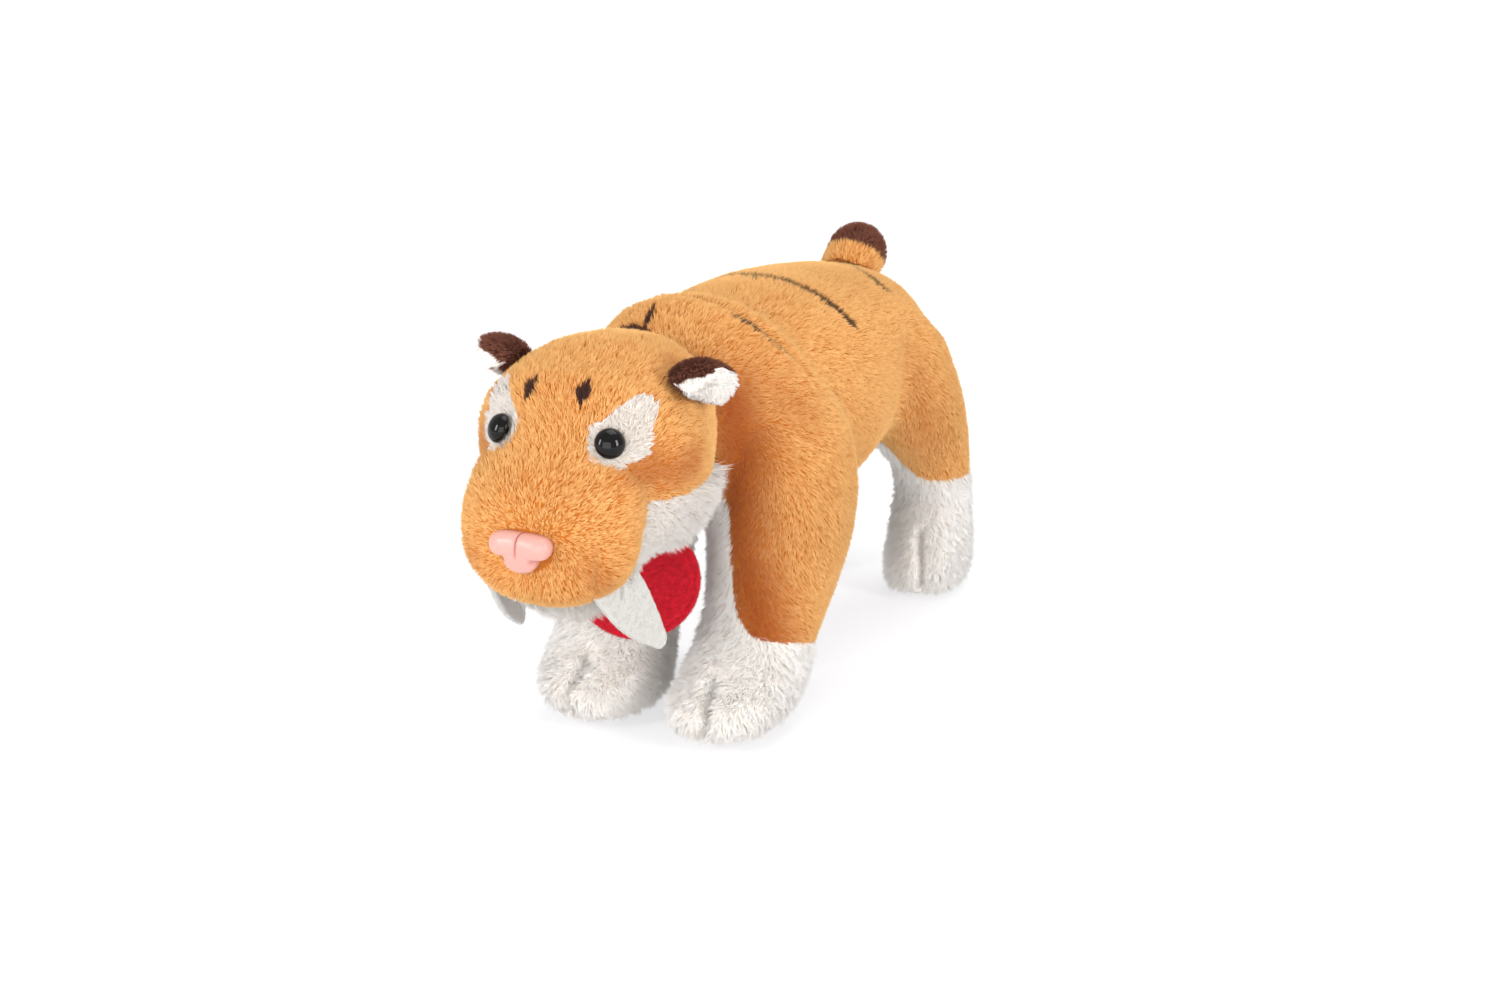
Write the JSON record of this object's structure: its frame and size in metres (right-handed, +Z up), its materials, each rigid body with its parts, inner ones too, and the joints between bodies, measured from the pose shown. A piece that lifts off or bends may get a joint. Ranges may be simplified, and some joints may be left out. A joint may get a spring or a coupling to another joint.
{
  "type": "stuffed sabre-toothed cat toy",
  "caption": "Standing stuffed sabre-toothed cat in golden, white and brown plush, with felt sabre teeth, round ears, a stub tail and a bare round felt tag on a thread.",
  "frame": {"origin": "on the floor, under the middle of the toy's box", "axes": "+Z is up, the toy faces -Y, and its own left side is +X"},
  "size_m": [0.0828, 0.227, 0.1165],
  "materials": {
    "golden_plush": "short napped plush",
    "white_plush": "longer napped plush",
    "brown_plush": "short napped plush",
    "white_felt": "smooth felt",
    "red_felt": "fuzzy felt",
    "filling": "loose fibre",
    "pink_vinyl": "soft gloss",
    "black_eye": "high gloss",
    "washer_plastic": "moulded",
    "thread": "twisted thread"
  },
  "bodies": {
    "body": {"back_cover": "golden_plush", "belly_gusset": "white_plush", "trunk_filling": "filling", "front_left_leg": "golden_plush", "front_left_paw": "white_plush", "front_left_filling": "filling", "front_right_leg": "golden_plush", "front_right_paw": "white_plush", "front_right_filling": "filling", "hind_left_leg": "golden_plush", "hind_left_paw": "white_plush", "hind_left_filling": "filling", "hind_right_leg": "golden_plush", "hind_right_paw": "white_plush", "hind_right_filling": "filling", "tag_thread": "thread"},
    "head": {"face_cover": "golden_plush", "jaw_cover": "white_plush", "left_eye_patch": "white_plush", "right_eye_patch": "white_plush", "head_filling": "filling", "nose": "pink_vinyl", "nose_washer": "washer_plastic", "left_eye": "black_eye", "right_eye": "black_eye", "left_eye_washer": "washer_plastic", "right_eye_washer": "washer_plastic"},
    "left_ear": {"left_ear_back": "brown_plush", "left_ear_lining": "white_plush"},
    "right_ear": {"right_ear_back": "brown_plush", "right_ear_lining": "white_plush"},
    "left_tooth": {"left_tooth": "white_felt"},
    "right_tooth": {"right_tooth": "white_felt"},
    "tail": {"tail_base": "golden_plush", "tail_tip": "brown_plush", "tail_filling": "filling"},
    "tag": {"tag": "red_felt"}
  },
  "joints": [
    {"name": "head_turn", "type": "hinge", "parent": "body", "child": "head", "pos_m": [0, -0.02312, 0.085], "axis": [0, 0, 1], "range_deg": [-12, 12], "stiffness_Nm_per_rad": 0.1},
    {"name": "left_ear_fold", "type": "hinge", "parent": "head", "child": "left_ear", "pos_m": [0.02098, -0.06712, 0.10814], "axis": [-0.2361, 0.7046, -0.6691], "range_deg": [-18, 18], "stiffness_Nm_per_rad": 0.002},
    {"name": "right_ear_fold", "type": "hinge", "parent": "head", "child": "right_ear", "pos_m": [-0.02098, -0.06712, 0.10814], "axis": [-0.2361, -0.7046, 0.6691], "range_deg": [-18, 18], "stiffness_Nm_per_rad": 0.002},
    {"name": "left_tooth_bend", "type": "hinge", "parent": "head", "child": "left_tooth", "pos_m": [0.017, -0.09112, 0.0573], "axis": [-0.1811, -0.7904, -0.5853], "range_deg": [-5, 20], "stiffness_Nm_per_rad": 0.002},
    {"name": "right_tooth_bend", "type": "hinge", "parent": "head", "child": "right_tooth", "pos_m": [-0.017, -0.09112, 0.0573], "axis": [-0.1811, 0.7904, 0.5853], "range_deg": [-5, 20], "stiffness_Nm_per_rad": 0.002},
    {"name": "tail_bend", "type": "hinge", "parent": "body", "child": "tail", "pos_m": [0, 0.08688, 0.10084], "axis": [1, 0, 0], "range_deg": [-15, 15], "stiffness_Nm_per_rad": 0.005},
    {"name": "tag_swing", "type": "hinge", "parent": "body", "child": "tag", "pos_m": [-0.002, -0.04862, 0.0576], "axis": [-0.9063, -0.4226, 0], "range_deg": [-10, 35]}
  ]
}
